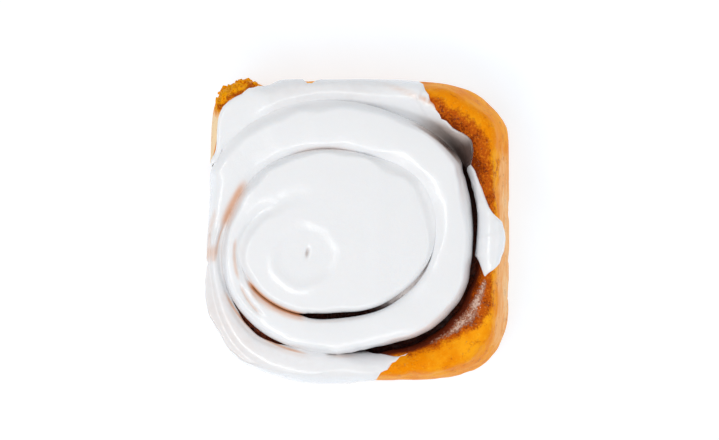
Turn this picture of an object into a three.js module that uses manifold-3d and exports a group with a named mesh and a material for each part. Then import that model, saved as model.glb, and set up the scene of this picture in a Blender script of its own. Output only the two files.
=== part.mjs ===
// A vanilla cinnamon roll, pulled from a tray bake: one strip of dough rolled up from the middle, a sheet of
// cinnamon filling between its laps, and a poured icing that lies on top and runs down the left and front sides.
// Millimetres, +Z up. Seen from above, +X is right and +Y is the back. The origin is under the middle of the roll.
// Angles along the strip are in degrees, counter-clockwise from +X about the dimple, and grow by 360 a lap.

import * as THREE from "three";
import { mergeVertices } from "three/addons/utils/BufferGeometryUtils.js";
import Module from "manifold-3d";

// Plan of the roll: a rounded square, each corner with its own squareness
const ROLL_CENTRE = { x: 0.8, y: 0.1 };
const ROLL_HALF = { x: 55.9, y: 56.1 };
const CORNER_SQUARENESS = { backRight: 5, backLeft: 8, frontLeft: 3.1, frontRight: 4.8 };
const DIMPLE = { x: -18.8, y: -8.0 };

// The seam between the laps: its distance from the dimple every 30 degrees, from 120 degrees on
const SEAM_STEP = 30;
const SEAM_FIRST = 120;
const SEAM_RADII = [
  [21.5, 23.3, 25.2, 23.7, 22.6, 23.3, 27.4, 36.6, 46.3, 49.6, 42.2, 37.7],
  [34.8, 31.8, 31.8, 32.7, 34.2, 36.4, 42.9, 56.6, 63.3, 66.6, 60.7, 55.9],
  [51.1, 46, 50],
].flat();
// Inside that the laps are covered by the icing, and each one shrinks towards the dimple
const HIDDEN_SHRINK = 0.62;
const HIDDEN_TAPER = { from: -760, to: -180 };
const DOUGH_START = -570;
const FILLING_START = -656;
const TAIL_MEETS_SIDE = 858;
const FILLING_END = 844;
const DOUGH_END = 1216;

// Heights
const CREST_HEIGHTS = [
  [-660, 43],
  [-500, 43.3],
  [-240, 46.6],
  [120, 48],
  [480, 46.5],
  [760, 45],
  [900, 40.5],
  [1220, 39],
];
const SHOULDER_DROP = 7;
const DROP_PER_HALF_WIDTH = 1.1;
const CRUST_DROP = 10;
const DOME_SQUARENESS = 2.3;

// The gap between two laps holds the filling with a little play on both sides
const GAP_HALF_FOOT = 0.9;
const GAP_HALF_TAIL = 0.2;
const GAP_HALF_TOP = { shut: 1.1, open: 2 };
const PLAY = 0.3;
const FILLING_FOOT = 0.8;
const FILLING_SUNK = { shut: 0.3, open: 1.2 };
// Where the icing leaves the seam open: from, to, how wide, and how soon it opens and shuts, in degrees
const OPEN_STRETCHES = [
  { from: 198, to: 356, width: 1, ease: 36 },
  { from: 420, to: 474, width: 0.3, ease: 20 },
  { from: 560, to: 634, width: 0.75, ease: 32 },
  { from: 645, to: 800, width: 1, ease: 40 },
];

// The side wall leans out towards its foot, most of all on the right
const FOOT_ROUND = { in: 2.5, up: 5 };
const WALL_LEAN = { all: 1.2, right: 5 };
const WALL_LEAN_SPREAD = 48;
const WALL_WIDEST = 13;

// Icing
const ICING_END = 1220;
const ICING_THICK = 2;
const ICING_CREASE = 1.5;
const ICING_ROOT = 3;
const BARE = -0.6;
// How far the icing reaches on the outer lap: angle, inner edge, outer edge. Both are radial distances from the
// seam, and what passes the crust's edge runs on down the side wall.
const ICING_REACH = [
  { at: 860, inner: -3, down: 3 },
  { at: 880, inner: -3, down: 4 },
  { at: 897, inner: -3, down: 8 },
  { at: 910, inner: -3, down: 20 },
  { at: 930, inner: -3, down: 25 },
  { at: 955, inner: -3, down: 20 },
  { at: 985, inner: -3, down: 14 },
  { at: 1006, inner: -3, down: 7 },
  { at: 1018, inner: -1, down: -1 },
  { at: 1028, inner: 3, down: -5 },
  { at: 1042, inner: 9, down: -20 },
  { at: 1102, inner: 9, down: -20 },
  { at: 1114, inner: 0, down: -10.5 },
  { at: 1126, inner: -3, down: -8.5 },
  { at: 1137, inner: -3, down: 0 },
  { at: 1150, inner: -3, down: 4 },
  { at: 1173, inner: -3, down: 3 },
  { at: 1184, inner: -3, down: -1.6 },
  { at: 1194, inner: -3, down: -4.6 },
  { at: 1203, inner: -3, down: -4 },
  { at: 1212, inner: -3, down: 0 },
  { at: 1222, inner: -3, down: 3 },
];

const DIMPLE_TOP = 45.4;
const DIMPLE_ROOT = 43.8;
const SHEET_ONLY = { from: -400, to: -320 };

const DRIP = { x: 49.9, y: -3.2, halfWidth: 3.5, halfLength: 13, thick: 2.1, bend: -2 };

// Fineness of the faceted surfaces: the stations of one turn, closer at the corners of the roll
const STATIONS = [
  [0, 12, 22, 29, 34, 38, 42, 47, 54, 64, 76, 88, 98, 106],
  [112, 117, 121, 126, 132, 140, 150, 162, 174, 186, 198, 210],
  [220, 230, 240, 250, 262, 274, 286, 298, 308, 316, 322, 327, 332, 338, 347],
].flat();
const DOME_LINES = [-0.9, -0.6, -0.2, 0.2, 0.6, 0.9];

const wasm = await Module();
wasm.setup();

const radians = THREE.MathUtils.degToRad;
const { lerp, smoothstep, clamp } = THREE.MathUtils;

// A smooth curve through evenly spaced values
function through(values, t) {
  const i = clamp(Math.floor(t), 0, values.length - 2);
  const at = (k) => values[clamp(k, 0, values.length - 1)];
  const [a, b, c, d] = [at(i - 1), at(i), at(i + 1), at(i + 2)];
  const f = t - i;
  const bend = (2 * a - 5 * b + 4 * c - d) * f * f + (3 * b - a - 3 * c + d) * f * f * f;
  return 0.5 * (2 * b + (c - a) * f + bend);
}

// An eased step from row to row of a table, where key picks the angle and value the number
function eased(rows, angle, key, value) {
  const next = rows.findIndex((row) => key(row) > angle);
  if (next <= 0) return value(rows[next === 0 ? 0 : rows.length - 1]);
  const share = smoothstep(angle, key(rows[next - 1]), key(rows[next]));
  return lerp(value(rows[next - 1]), value(rows[next]), share);
}

function seamRadius(angle) {
  if (angle >= SEAM_FIRST) return through(SEAM_RADII, (angle - SEAM_FIRST) / SEAM_STEP);
  if (angle < DOUGH_START) {
    const share = clamp((angle - FILLING_START) / (DOUGH_START - FILLING_START), 0, 1);
    return share * seamRadius(DOUGH_START);
  }
  const taper = clamp((angle - HIDDEN_TAPER.from) / (HIDDEN_TAPER.to - HIDDEN_TAPER.from), 0, 1);
  return seamRadius(angle + 360) * HIDDEN_SHRINK * taper;
}

// Distance from the dimple to the roll's side, by halving the interval along the ray
function sideRadius(angle) {
  const [c, s] = [Math.cos(radians(angle)), Math.sin(radians(angle))];
  let near = 0;
  let far = 2 * (ROLL_HALF.x + ROLL_HALF.y);
  for (let k = 0; k < 40; k++) {
    const r = (near + far) / 2;
    const x = (DIMPLE.x + r * c - ROLL_CENTRE.x) / ROLL_HALF.x;
    const y = (DIMPLE.y + r * s - ROLL_CENTRE.y) / ROLL_HALF.y;
    const right = smoothstep(x, -0.4, 0.4);
    const back = lerp(CORNER_SQUARENESS.backLeft, CORNER_SQUARENESS.backRight, right);
    const front = lerp(CORNER_SQUARENESS.frontLeft, CORNER_SQUARENESS.frontRight, right);
    const power = lerp(front, back, smoothstep(y, -0.4, 0.4));
    if (Math.abs(x) ** power + Math.abs(y) ** power > 1) far = r;
    else near = r;
  }
  return near;
}

// Outer edge of the lap at an angle along the strip: the seam, and from the tail on the side of the roll
function lapEdge(angle) {
  if (angle < FILLING_START) return 0;
  const side = sideRadius(angle);
  if (angle > 900) return side;
  const seam = seamRadius(angle);
  return (seam + side - Math.hypot(seam - side, 1)) / 2;
}

const crestHeight = (angle) => eased(CREST_HEIGHTS, angle, (row) => row[0], (row) => row[1]);

function openness(angle) {
  const parts = OPEN_STRETCHES.map(({ from, to, width, ease }) => {
    return width * smoothstep(angle, from, from + ease) * (1 - smoothstep(angle, to - ease, to));
  });
  return Math.max(...parts);
}

// Half the gap between two laps: it closes beyond the filling, where the tail thins out
const tailShare = (angle) => smoothstep(angle, FILLING_END + 2, TAIL_MEETS_SIDE - 2);
const gapHalfFoot = (angle) => lerp(GAP_HALF_FOOT, GAP_HALF_TAIL, tailShare(angle));
const gapHalfTop = (angle) =>
  lerp(lerp(GAP_HALF_TOP.shut, GAP_HALF_TOP.open, openness(angle)), GAP_HALF_TAIL, tailShare(angle));

function wallLean(angle) {
  const turn = ((angle + 180) % 360 + 360) % 360 - 180;
  return WALL_LEAN.all + (WALL_LEAN.right - WALL_LEAN.all) * Math.exp(-((turn / WALL_LEAN_SPREAD) ** 4));
}

// The upright section of the dough lap at an angle: its walls, its crest and the tops of its walls
function lapAt(angle) {
  const free = angle > TAIL_MEETS_SIDE;
  const inner = lapEdge(angle - 360);
  const outer = lapEdge(angle);
  const topIn = inner + (inner > 0 ? gapHalfTop(angle - 360) : GAP_HALF_FOOT);
  const topOut = free ? outer - wallLean(angle) * Math.min(1, (outer - inner) / 8) : outer - gapHalfTop(angle);
  const half = Math.max((topOut - topIn) / 2, 0.2);
  const crest = crestHeight(angle);
  const drop = Math.min(SHOULDER_DROP, DROP_PER_HALF_WIDTH * half);
  const dropOut = free ? Math.min(CRUST_DROP, 2 * DROP_PER_HALF_WIDTH * half) : drop;
  return { free, inner, outer, topIn, topOut, half, crest, shoulderIn: crest - drop, shoulderOut: crest - dropOut };
}

// Point on the lap's rounded top, a from -1 at the inner wall to 1 at the outer: a superellipse arch
function domePoint(lap, a) {
  const arch = (1 - Math.abs(a) ** DOME_SQUARENESS) ** (1 / DOME_SQUARENESS);
  const shoulder = a < 0 ? lap.shoulderIn : lap.shoulderOut;
  return [(lap.topIn + lap.topOut) / 2 + a * lap.half, shoulder + (lap.crest - shoulder) * arch];
}

// The filling ends just below the lower one of the two shoulders beside it
function fillingTop(angle) {
  const sunk = lerp(FILLING_SUNK.shut, FILLING_SUNK.open, openness(angle));
  return Math.min(lapAt(angle).shoulderOut, lapAt(angle + 360).shoulderIn) - sunk;
}

const place = (angle, r, z) =>
  new THREE.Vector3(DIMPLE.x + r * Math.cos(radians(angle)), DIMPLE.y + r * Math.sin(radians(angle)), z);

// Laps lie flush only when all of them have their stations at the same angles
function stationsBetween(from, to) {
  const all = [];
  for (let turn = -2; turn < 4; turn++) all.push(...STATIONS.map((angle) => angle + 360 * turn));
  return [from, ...all.filter((angle) => angle > from && angle < to), to];
}

// A closed section carried along the strip: a capped cylinder whose rings are laid on the stations
function carried(from, to, section, sides) {
  const angles = stationsBetween(from, to);
  const sections = angles.map(section);
  const geometry = new THREE.CylinderGeometry(1, 1, 1, sides, angles.length - 1);
  geometry.deleteAttribute("normal");
  geometry.deleteAttribute("uv");
  const position = geometry.getAttribute("position");
  for (let v = 0; v < position.count; v++) {
    const [x, y, z] = [position.getX(v), position.getY(v), position.getZ(v)];
    const station = Math.round((0.5 - y) * (angles.length - 1));
    const points = sections[station];
    const onAxis = Math.hypot(x, z) < 0.5;
    const side = Math.round((1 - Math.atan2(x, z) / (2 * Math.PI)) * sides) % sides;
    const middle = [0, 1].map((k) => points.reduce((sum, p) => sum + p[k] / sides, 0));
    const [r, height] = onAxis ? middle : points[side];
    position.setXYZ(v, ...place(angles[station], r, height));
  }
  return mergeVertices(geometry, 1e-4);
}

// The dough's section, grown by an amount where the icing's underside is cut to it
function doughSection(angle, grow) {
  const lap = lapAt(angle);
  const foot = lap.inner + gapHalfFoot(angle - 360);
  const footOut = lap.free ? lap.outer : lap.outer - gapHalfFoot(angle);
  const round = Math.min(1, (footOut - foot) / 4);
  const [roundIn, roundUp] = lap.free ? [Math.min(FOOT_ROUND.in, 2.5 * round), FOOT_ROUND.up] : [round, 1];
  const wallMid = lap.free
    ? [lap.outer, WALL_WIDEST]
    : [lerp(footOut, lap.topOut, (WALL_WIDEST - 1) / (lap.shoulderOut - 1)), WALL_WIDEST];
  const dome = DOME_LINES.map((a) => domePoint(lap, a));
  return [
    [foot + round - grow, -grow],
    [foot - grow, 1],
    [lap.topIn - grow, lap.shoulderIn],
    ...dome.map(([r, z], k) => [r + grow * DOME_LINES[k], z + grow * (1 - 0.3 * Math.abs(DOME_LINES[k]))]),
    [lap.topOut + grow, lap.shoulderOut],
    [wallMid[0] + grow, wallMid[1]],
    [footOut + grow, roundUp],
    [footOut - roundIn + grow, -grow],
  ];
}

function fillingSection(angle, grow) {
  const radius = lapEdge(angle);
  const top = fillingTop(angle) + grow;
  const halfFoot = GAP_HALF_FOOT - PLAY + grow;
  const halfTop = gapHalfTop(angle) - PLAY + grow;
  return [
    [radius - halfFoot, FILLING_FOOT],
    [radius - halfTop, top],
    [radius + halfTop, top],
    [radius + halfFoot, FILLING_FOOT],
  ];
}

const DOUGH_SIDES = DOME_LINES.length + 7;
const doughShape = (grow) => carried(DOUGH_START, DOUGH_END, (angle) => doughSection(angle, grow), DOUGH_SIDES);
const fillingShape = (grow) => carried(FILLING_START, FILLING_END, (angle) => fillingSection(angle, grow), 4);

function offsetFrom(before, point, after, distance) {
  const [dr, dz] = [after[0] - before[0], after[1] - before[1]];
  const length = Math.hypot(dr, dz) || 1;
  return [point[0] - (dz / length) * distance, point[1] + (dr / length) * distance];
}

const mix = (p, q, share) => [lerp(p[0], q[0], share), lerp(p[1], q[1], share)];

// Height of the icing in the crease over a seam, which laps on both sides share
function creaseHeight(angle) {
  const lower = Math.min(crestHeight(angle), crestHeight(angle + 360)) + ICING_THICK;
  const hidden = angle < SEAM_FIRST ? 0.3 : 1;
  return Math.max(lower - ICING_CREASE * hidden, fillingTop(angle) + 1.5);
}

// The icing's top and root lines across the lap at an angle, from the inner seam to the outer seam or down the wall
function icingLines(angle) {
  const lap = lapAt(angle);
  const reachRow = (pick) => eased(ICING_REACH, angle, (row) => row.at, pick);
  const onOuter = lap.free;
  const down = onOuter ? Math.max(reachRow((row) => row.down), 0) : 0;
  const seamIn = angle - 360;
  const floorIn = seamIn >= FILLING_START ? fillingTop(seamIn) : DIMPLE_ROOT - 1;
  const floorOut = onOuter ? 0 : fillingTop(angle);
  const wallAt = (depth) => {
    const z = lap.shoulderOut - depth;
    return [lerp(lap.topOut, lap.outer, clamp(depth / (lap.shoulderOut - WALL_WIDEST), 0, 1)), z];
  };
  const domeShares = onOuter ? [-0.85, -0.4, 0.1, 0.6] : [-0.85, -0.4, 0, 0.4, 0.85];
  const base = [
    [lap.inner, floorIn],
    [lap.topIn, lap.shoulderIn],
    ...domeShares.map((a) => domePoint(lap, a)),
    ...(onOuter ? [wallAt(0), wallAt(down / 2 + 1), wallAt(down + 3)] : [wallAtShoulder(lap), [lap.outer, floorOut]]),
  ];
  const count = base.length;
  const openIn = seamIn >= FILLING_START ? openness(seamIn) : 0;
  const openOut = onOuter ? 1 : openness(angle);
  const creaseIn = creaseHeight(Math.max(seamIn, FILLING_START));
  const creaseOut = onOuter ? 0 : creaseHeight(angle);
  const top = base.map((point, k) => {
    const before = base[Math.max(k - 1, 0)];
    const after = base[Math.min(k + 1, count - 1)];
    const share = k / (count - 1);
    const towardsIn = share < 0.5;
    const open = towardsIn ? openIn : openOut;
    // bridged: a soft arch between the creases
    const edge = Math.abs(2 * share - 1) ** 3;
    const crease = towardsIn ? creaseIn : creaseOut;
    const bridged = [point[0], lerp(lap.crest + ICING_THICK, crease, edge)];
    // open: a coat on the lap, gone at the groove's floor
    const coats = [BARE - 0.4, 0.8, 1.5, ICING_THICK];
    const fromEdge = Math.min(k, onOuter ? 3 : count - 1 - k, 3);
    let coat = coats[fromEdge];
    if (onOuter) coat = Math.min(coat, outerCoat(lap, point, k, count, reachRow, down));
    const coated = k === 0 || (k === count - 1 && !onOuter)
      ? [point[0], point[1] + coats[0]]
      : offsetFrom(before, point, after, coat);
    const barelyIced = onOuter && coat < 0.5;
    return mix(bridged, coated, barelyIced ? 1 : open);
  });
  const root = base.map((point, k) => {
    const before = base[Math.max(k - 1, 0)];
    const after = base[Math.min(k + 1, count - 1)];
    const rooted = smoothstep(angle, SHEET_ONLY.from, SHEET_ONLY.to);
    const rootedIn = smoothstep(seamIn, SHEET_ONLY.from, SHEET_ONLY.to);
    const depth = lerp(-0.7, Math.min(ICING_ROOT, 0.8 * lap.half + 0.5), k === 0 ? rootedIn : rooted);
    const [r, z] = k === 0 || (k === count - 1 && !onOuter)
      ? [point[0], point[1] - depth]
      : offsetFrom(before, point, after, -depth);
    return [r, Math.max(z, DIMPLE_ROOT * (1 - rooted))];
  });
  return { top, root };
}

const wallAtShoulder = (lap) => [lap.topOut, lap.shoulderOut];

// Thickness of the icing on the outer lap, which thins to nothing at the icing's own edge
function outerCoat(lap, point, k, count, reachRow, down) {
  const inner = reachRow((row) => row.inner);
  const outer = reachRow((row) => row.down);
  const fromInner = point[0] - lap.inner - inner;
  const along = k < count - 3 ? point[0] - lap.topOut : [0, down / 2 + 1, down + 3][k - (count - 3)];
  const fromOuter = outer - along;
  return clamp(Math.min(fromInner, fromOuter), BARE, ICING_THICK);
}

function icingBlank() {
  const angles = stationsBetween(FILLING_START, ICING_END);
  const count = angles.length - 1;
  const lines = 8;
  const geometry = new THREE.BoxGeometry(1, 1, 1, count, lines, 1);
  const perTurn = STATIONS.length;
  const made = angles.map(icingLines);
  const position = geometry.getAttribute("position");
  const where = (v) => ({
    station: Math.round((position.getX(v) + 0.5) * count),
    line: Math.round((0.5 - position.getY(v)) * lines),
    isTop: position.getZ(v) > 0,
  });
  const spots = Array.from({ length: position.count }, (_, v) => where(v));
  const tailStation = count - perTurn;
  const index = Array.from(geometry.index.array);
  const kept = [];
  for (let f = 0; f < index.length; f += 3) {
    const corners = index.slice(f, f + 3).map((v) => spots[v]);
    const onInnerSide = corners.every((c) => c.line === 0);
    const onOuterSide = corners.every((c) => c.line === lines);
    const joined = corners.every((c) => c.station <= tailStation);
    if (!onInnerSide && !(onOuterSide && joined)) kept.push(...index.slice(f, f + 3));
  }
  spots.forEach((spot, v) => {
    // the outer line of a lap is the inner line of the next one
    const shared = spot.line === lines && spot.station <= tailStation;
    const station = shared ? spot.station + perTurn : spot.station;
    const line = shared ? 0 : spot.line;
    const atDimple = spot.station === 0 || (line === 0 && station <= perTurn);
    const [r, z] = atDimple ? [0, spot.isTop ? DIMPLE_TOP : DIMPLE_ROOT] : made[station][spot.isTop ? "top" : "root"][line];
    position.setXYZ(v, ...place(angles[spot.station], r, z));
  });
  geometry.setIndex(kept);
  geometry.deleteAttribute("normal");
  geometry.deleteAttribute("uv");
  return mergeVertices(geometry, 1e-4);
}

// A closed geometry as a solid, without the faces that merging has closed up
function solidOf(geometry) {
  const index = geometry.index.array;
  const triangles = [];
  for (let f = 0; f < index.length; f += 3) {
    const [a, b, c] = index.slice(f, f + 3);
    if (a !== b && b !== c && c !== a) triangles.push(a, b, c);
  }
  return new wasm.Manifold(
    new wasm.Mesh({
      numProp: 3,
      vertProperties: new Float32Array(geometry.getAttribute("position").array),
      triVerts: new Uint32Array(triangles),
    }),
  );
}

function geometryOf(solid) {
  const mesh = solid.getMesh();
  const geometry = new THREE.BufferGeometry();
  geometry.setAttribute("position", new THREE.BufferAttribute(mesh.vertProperties, 3));
  geometry.setIndex(new THREE.BufferAttribute(mesh.triVerts, 1));
  geometry.computeVertexNormals();
  return geometry;
}

// A solid without facets and edges smaller than a size
function tidied(solid, size) {
  const geometry = geometryOf(solid.asOriginal().simplify(size));
  geometry.deleteAttribute("normal");
  return solidOf(mergeVertices(geometry, size / 4)).asOriginal().simplify(size);
}

const largestOf = (solid) => solid.decompose().sort((p, q) => q.volume() - p.volume())[0];

function icingShape() {
  const cut = solidOf(icingBlank()).subtract(solidOf(doughShape(PLAY))).subtract(solidOf(fillingShape(PLAY)));
  return geometryOf(largestOf(tidied(tidied(largestOf(cut), 0.06), 0.12)));
}

// Height of the outer lap's rounded top at a plan point
function crustHeight(x, y) {
  const turn = THREE.MathUtils.radToDeg(Math.atan2(y - DIMPLE.y, x - DIMPLE.x));
  const lap = lapAt(turn + 1080);
  const r = Math.hypot(x - DIMPLE.x, y - DIMPLE.y);
  return domePoint(lap, clamp((r - (lap.topIn + lap.topOut) / 2) / lap.half, -1, 1))[1];
}

// A run of icing across the crust: a flattened ball pulled out to a tail in front, lying on the crust
function dripShape() {
  const geometry = new THREE.SphereGeometry(1, 20, 12);
  geometry.deleteAttribute("normal");
  geometry.deleteAttribute("uv");
  geometry.rotateX(Math.PI / 2);
  const position = geometry.getAttribute("position");
  for (let v = 0; v < position.count; v++) {
    const along = position.getY(v);
    const x = DRIP.x + DRIP.bend * along * along + position.getX(v) * DRIP.halfWidth * (1 + 0.3 * along);
    const y = DRIP.y + along * DRIP.halfLength;
    const up = position.getZ(v);
    position.setXYZ(v, x, y, crustHeight(x, y) + Math.sign(up) * Math.sqrt(Math.abs(up)) * DRIP.thick);
  }
  const ball = solidOf(mergeVertices(geometry, 1e-4));
  const cut = ball.subtract(solidOf(doughShape(PLAY))).subtract(solidOf(fillingShape(PLAY)));
  return geometryOf(largestOf(tidied(largestOf(cut), 0.06)));
}

const crust = new THREE.MeshStandardMaterial({ color: 0xe8950f, roughness: 0.6, metalness: 0 });
const cinnamon = new THREE.MeshStandardMaterial({ color: 0x4a1a0a, roughness: 0.35, metalness: 0 });
const vanillaIcing = new THREE.MeshStandardMaterial({ color: 0xf2f3f5, roughness: 0.22, metalness: 0 });

function piece(name, geometry, material) {
  geometry.computeVertexNormals();
  const mesh = new THREE.Mesh(geometry, material);
  mesh.name = name;
  return mesh;
}

const roll = new THREE.Group();
roll.add(piece("dough", geometryOf(solidOf(doughShape(0))), crust));
roll.add(piece("filling", geometryOf(solidOf(fillingShape(0))), cinnamon));
roll.add(piece("icing", icingShape(), vanillaIcing));
roll.add(piece("icing_drip", dripShape(), vanillaIcing));

export default roll;
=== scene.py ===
"""An iced cinnamon roll, pulled from a tray bake: crust, cinnamon filling, poured icing and the stage it stands on.

Every surface is worked out on a grid over two numbers: the angle along the rolled strip of dough, in degrees,
counter-clockwise about the dimple and growing by 360 a lap, and a place across the strip. Plan distances and heights
are in millimetres until the mesh is made.
"""

import math

import bpy
import numpy as np
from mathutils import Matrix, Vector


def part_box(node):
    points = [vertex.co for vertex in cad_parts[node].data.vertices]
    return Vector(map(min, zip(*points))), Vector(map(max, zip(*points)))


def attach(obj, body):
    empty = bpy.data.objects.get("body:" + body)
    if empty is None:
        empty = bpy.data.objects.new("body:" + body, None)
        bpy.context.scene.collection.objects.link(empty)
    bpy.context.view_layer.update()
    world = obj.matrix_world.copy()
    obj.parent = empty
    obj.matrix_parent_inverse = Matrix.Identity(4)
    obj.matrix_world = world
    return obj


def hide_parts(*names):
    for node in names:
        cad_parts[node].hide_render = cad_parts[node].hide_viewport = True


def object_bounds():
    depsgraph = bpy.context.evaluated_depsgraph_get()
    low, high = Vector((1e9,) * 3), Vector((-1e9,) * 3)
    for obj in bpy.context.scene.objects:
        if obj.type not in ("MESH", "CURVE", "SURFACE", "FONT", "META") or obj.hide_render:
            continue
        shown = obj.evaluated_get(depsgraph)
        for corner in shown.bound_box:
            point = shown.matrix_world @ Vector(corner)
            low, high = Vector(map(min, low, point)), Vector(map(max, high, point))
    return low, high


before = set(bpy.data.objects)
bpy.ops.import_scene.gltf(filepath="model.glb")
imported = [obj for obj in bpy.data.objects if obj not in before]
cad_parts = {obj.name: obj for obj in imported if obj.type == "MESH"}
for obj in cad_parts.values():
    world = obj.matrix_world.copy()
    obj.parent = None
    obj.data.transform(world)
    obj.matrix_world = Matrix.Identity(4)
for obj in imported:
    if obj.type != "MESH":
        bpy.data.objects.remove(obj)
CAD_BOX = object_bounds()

bl_info = {
    "name": "Cinnamon roll",
    "version": (1, 0, 0),
    "blender": (4, 5, 0),
    "location": "3D View > Sidebar > Cinnamon roll",
    "description": "Makes an iced cinnamon roll over its packed solids",
    "category": "Add Mesh",
}

MM = 0.001
DOUGH_LOW, DOUGH_HIGH = np.array(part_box("dough")) / MM
CAD_LOW, CAD_HIGH = np.array(CAD_BOX) / MM
ROLL_CENTRE = (DOUGH_LOW[:2] + DOUGH_HIGH[:2]) / 2
ROLL_HALF = (DOUGH_HIGH[:2] - DOUGH_LOW[:2]) / 2
ROLL_TOP = CAD_HIGH[2]
WALL_WIDEST, FOOT_HEIGHT = 13.0, 5.0
# Power of the outline's curve at each corner: towards the front or back, and towards the side
CORNER_SQUARENESS = {
    "back_right": (4.4, 7.0), "back_left": (9.0, 8.5), "front_left": (3.1, 3.1), "front_right": (4.7, 5.6),
}
# Power of the curve of a lap's rounded top, and of the slope down to the groove where the outer lap is bare
TOP_POWER, BARE_POWER = 2.3, 1.75
DIMPLE = np.array([-18.8, -8.0])

# The seam between the laps: distance from the dimple every 30 degrees, from 120 degrees on
SEAM_FIRST, SEAM_STEP = 120.0, 30.0
SEAM_RADII = np.array(
    [21.5, 23.3, 25.2, 23.7, 22.6, 23.3, 27.0, 36.2, 46.3, 49.6, 42.2, 37.7]
    + [34.8, 31.8, 31.8, 32.7, 34.2, 36.4, 42.9, 56.6, 63.3, 66.6, 60.7, 55.9]
    + [51.1, 46.0, 50.0]
)
# Laps hidden under the icing: the size of each as a share of the one outside it, and the angle at which the innermost
# starts from nothing and how far it goes to its full size
HIDDEN_SHRINK = 0.62
TAPER_START, TAPER_LENGTH = -760.0, 580.0
# First and last angle of the filling and of the dough
FILLING_START, FILLING_END = -656.0, 846.0
DOUGH_START, DOUGH_END = -570.0, 1217.25
# Where the strip's outer side comes free of the seam, and from where it is the roll's side alone
TAIL_MEETS_SIDE, TAIL_CLEAR = 858.0, 900.0
# The icing covers the laps whole up to the first angle, and is off most of the outer lap between the other two
COVERED_TO, BARE_START, BARE_END = 1000.0, 1006.0, 1150.0
# Angles of the icing: its start at the dimple, the tip of its first part, and the start and end of the part beyond
# the bare crust. Then the degrees between its rows, and how many of its first rows meet in one point.
ICING_START, ICING_TIP, ICING_RESUMES, ICING_END = -240.0, 1036.5, 1104.0, 1218.0
ICING_STEP, POLE_ROWS = 1.5, 8

# Tables of angle and values, eased from one row to the next. Angles of a seam are those of the lap inside it.
RING_CRESTS = [
    (440, 46.8), (560, 46.2), (760, 45), (860, 41.8), (900, 40.5), (1060, 39.8), (1136, 39.6), (1180, 40.3),
    (1220, 40.4),
]
ICING_THICKNESS = [
    (1000, 1), (1030, 0.65), (1060, 0.6), (1100, 0.3), (1126, 0.3), (1142, 0.85), (1170, 1),
]
# Open grooves: how far the icing of the lap inside, and of the lap outside, stays back from the seam
GROOVES = [
    (260, 0, 0), (266, 0.4, 0.4), (272, 1.0, 0.8), (280, 1.3, 0.9), (300, 1.5, 0.8), (314, 1.1, 0.7),
    (326, 0.95, 0.8), (340, 0.8, 0.7), (350, 0.55, 0.45), (358, 0.1, 0.1), (360, 0, 0), (570, 0, 0), (578, 0.15, 0.3),
    (589, 0.3, 1.2), (599, 0.3, 1.6), (610, 0.2, 0.9), (619, 0, 0), (646, 0, 0), (653, 0.4, 0.2), (659, 1.2, 0.3),
    (668, 2.2, 0.4), (676, 2.8, 0.4), (684, 2.3, 0.4), (690, 1.8, 0.4), (697, 1.3, 0.4), (703, 0.6, 0.4),
    (709, 0.7, 0.4), (716, 1.7, 0.4), (724, 2.3, 0.4), (733, 2.6, 0.4), (741, 2.3, 0.4), (747, 1.6, 0.2), (751, 0, 0),
]
# How far the filling stands up in a groove above its place below the shoulders
FILLING_RISE = [
    (310, 0), (318, 3.2), (326, 5.4), (338, 6.3), (348, 6.4), (355, 5.4), (362, 2), (366, 0), (566, 0), (578, 1.2),
    (612, 1.2), (622, 0), (650, 2), (662, 1), (690, 0),
]
# Valleys where the icing bridges the seam: depth, reach over the lap inside and outside, and sharpness from 0 to 1
VALLEYS = [
    (60, 0, 6, 6, 0), (130, 0.5, 5, 5, 0), (165, 0.6, 3.5, 3, 0.1), (200, 0.8, 2.6, 2.4, 0.3),
    (216, 1.3, 2.2, 2.0, 0.6), (250, 1.6, 2.2, 1.8, 0.7), (264, 2.4, 2.2, 1.8, 1), (314, 2.8, 2.4, 2.2, 1),
    (335, 2.0, 2.4, 2.4, 1), (350, 1.4, 2.4, 2.6, 0.9), (362, 0.9, 3, 3.6, 0.4), (380, 0.6, 6, 7, 0),
    (402, 0.7, 5, 6, 0.1), (420, 1.1, 3, 3.4, 0.5), (440, 1.5, 2.4, 2.8, 0.7), (456, 1.1, 2.6, 2.8, 0.5),
    (472, 0.6, 3.6, 4, 0.1), (500, 0.4, 2.6, 2.4, 0.2), (530, 0.3, 2.4, 2.2, 0.3), (550, 0.5, 2.4, 2.2, 0.5),
    (566, 1.4, 2.2, 2, 0.9), (618, 1.2, 2.4, 2.2, 0.9), (628, 0.35, 3.0, 2.6, 0.4), (640, 0.4, 3.0, 2.6, 0.4),
    (646, 1.1, 2.6, 2.6, 0.8), (740, 7, 4.4, 9, 0.9), (752, 6.6, 4, 9, 0.8), (766, 5, 2.8, 8, 0.7),
    (778, 3.2, 2.6, 6.5, 0.6), (792, 0.9, 3.6, 4, 0.4), (812, 0.3, 5, 3.4, 0.1), (835, 0.15, 4, 3.4, 0.1),
    (852, 0.05, 4.4, 3, 0.1), (858, 0, 3, 3, 0.1),
]
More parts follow.
